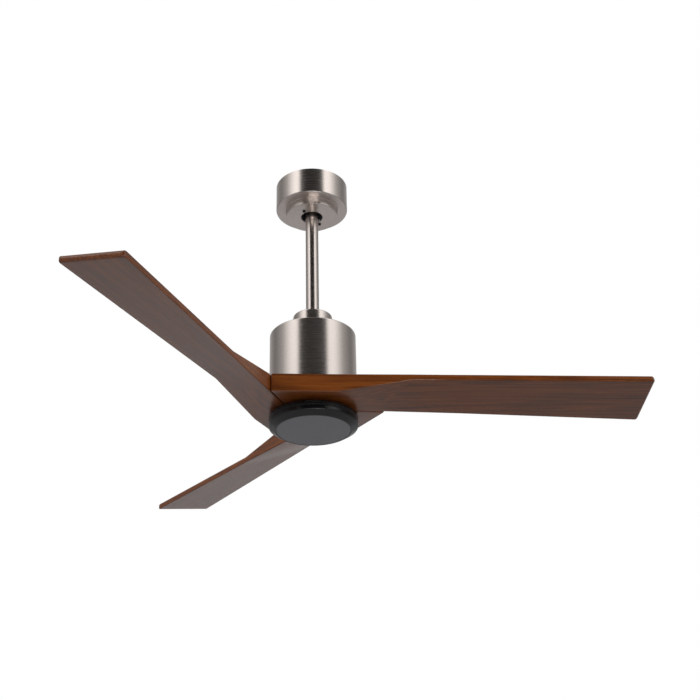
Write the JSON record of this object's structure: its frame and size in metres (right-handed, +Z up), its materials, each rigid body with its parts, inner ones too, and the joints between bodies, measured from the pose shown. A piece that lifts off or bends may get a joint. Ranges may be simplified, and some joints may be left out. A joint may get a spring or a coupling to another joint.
{
  "type": "ceiling fan with light",
  "caption": "Ceiling fan with carved timber blades in a pinwheel around a flush light kit, hung on a downrod from a ball joint in a stepped canopy.",
  "frame": {"origin": "centre of the ceiling bracket's top face, in the plane of the ceiling", "axes": "+Z up into the ceiling, along the axis of the rotor; +X along the line of the two ceiling slots"},
  "size_m": [1.0514, 1.191, 0.5645],
  "materials": {
    "brushed_nickel": "satin brushed nickel, grain around the axis on turned parts and along the rod",
    "zinc_steel": "zinc plated pressed steel",
    "dark_steel": "black oxide steel",
    "bright_screw": "plated steel",
    "ground_green": "green plated",
    "receiver_case": "fine moulded texture",
    "ball_plastic": "moulded black",
    "wire_insulation": "smooth insulation",
    "walnut": "carved solid walnut under satin varnish",
    "cast_alloy": "as cast",
    "lamination": "stacked sheet steel edges",
    "copper_winding": "enamelled copper wire",
    "magnet_grey": "sintered magnet",
    "bearing_steel": "ground bearing steel",
    "circuit_green": "solder mask",
    "component_black": "moulded component bodies",
    "brass_post": "turned brass",
    "black_plastic": "fine satin moulded black",
    "driver_white": "moulded white",
    "board_white": "white solder mask on aluminium",
    "led_phosphor": "silicone phosphor",
    "smoked_acrylic": "satin smoked diffuser"
  },
  "bodies": {
    "base": {"ceiling_bracket": "zinc_steel", "ground_screw": "ground_green", "remote_receiver": "receiver_case", "canopy": "brushed_nickel", "canopy_screws": "dark_steel"},
    "ball": {"hanger_ball": "ball_plastic"},
    "rod": {"downrod": "brushed_nickel", "ball_cross_pin": "bright_screw", "lead_wires": "wire_insulation", "collar": "brushed_nickel", "motor_yoke": "dark_steel", "yoke_pin": "bright_screw", "yoke_cotter": "bright_screw", "yoke_set_screws": "dark_steel", "yoke_bolts": "bright_screw", "motor_housing": "brushed_nickel", "motor_shaft": "zinc_steel", "driver_board": "circuit_green", "driver_parts": "component_black", "board_standoffs": "brass_post", "stator_core": "lamination", "stator_windings": "copper_winding", "bearing_inner_rings": "bearing_steel", "shaft_nuts": "bright_screw", "light_mount_plate": "zinc_steel", "light_pan": "black_plastic", "pan_screws": "bright_screw", "led_driver": "driver_white", "led_board": "board_white", "led_chips": "led_phosphor", "led_board_screws": "bright_screw"},
    "rotor": {"bearing_outer_rings": "bearing_steel", "rotor_bell": "cast_alloy", "rotor_magnets": "magnet_grey", "rotor_base": "cast_alloy", "rotor_screws": "bright_screw", "blade_carrier": "cast_alloy", "carrier_bolts": "bright_screw", "blade_1": "walnut", "blade_2": "walnut", "blade_3": "walnut", "blade_screws": "dark_steel"},
    "bearing_cages": {"bearing_balls": "bearing_steel"},
    "light_ring": {"trim_ring": "black_plastic", "diffuser": "smoked_acrylic"}
  },
  "joints": [
    {"name": "ball_tilt", "type": "hinge", "parent": "base", "child": "ball", "pos_m": [0, 0, -0.044], "axis": [1, 0, 0], "range_deg": [-10, 10]},
    {"name": "rod_tilt", "type": "hinge", "parent": "ball", "child": "rod", "pos_m": [0, 0, -0.044], "axis": [0, 1, 0], "range_deg": [-10, 10]},
    {"name": "rotor_spin", "type": "hinge", "parent": "rod", "child": "rotor", "pos_m": [0, 0, -0.43], "axis": [0, 0, 1], "continuous": true},
    {"name": "cage_spin", "type": "hinge", "parent": "rod", "child": "bearing_cages", "pos_m": [0, 0, -0.43], "axis": [0, 0, 1], "continuous": true},
    {"name": "light_ring_twist", "type": "hinge", "parent": "rod", "child": "light_ring", "pos_m": [0, 0, -0.55], "axis": [0, 0, 1], "range_deg": [0, 25]}
  ],
  "couplings": [
    {"joint": "cage_spin", "follows": "rotor_spin", "ratio": 0.61}
  ]
}
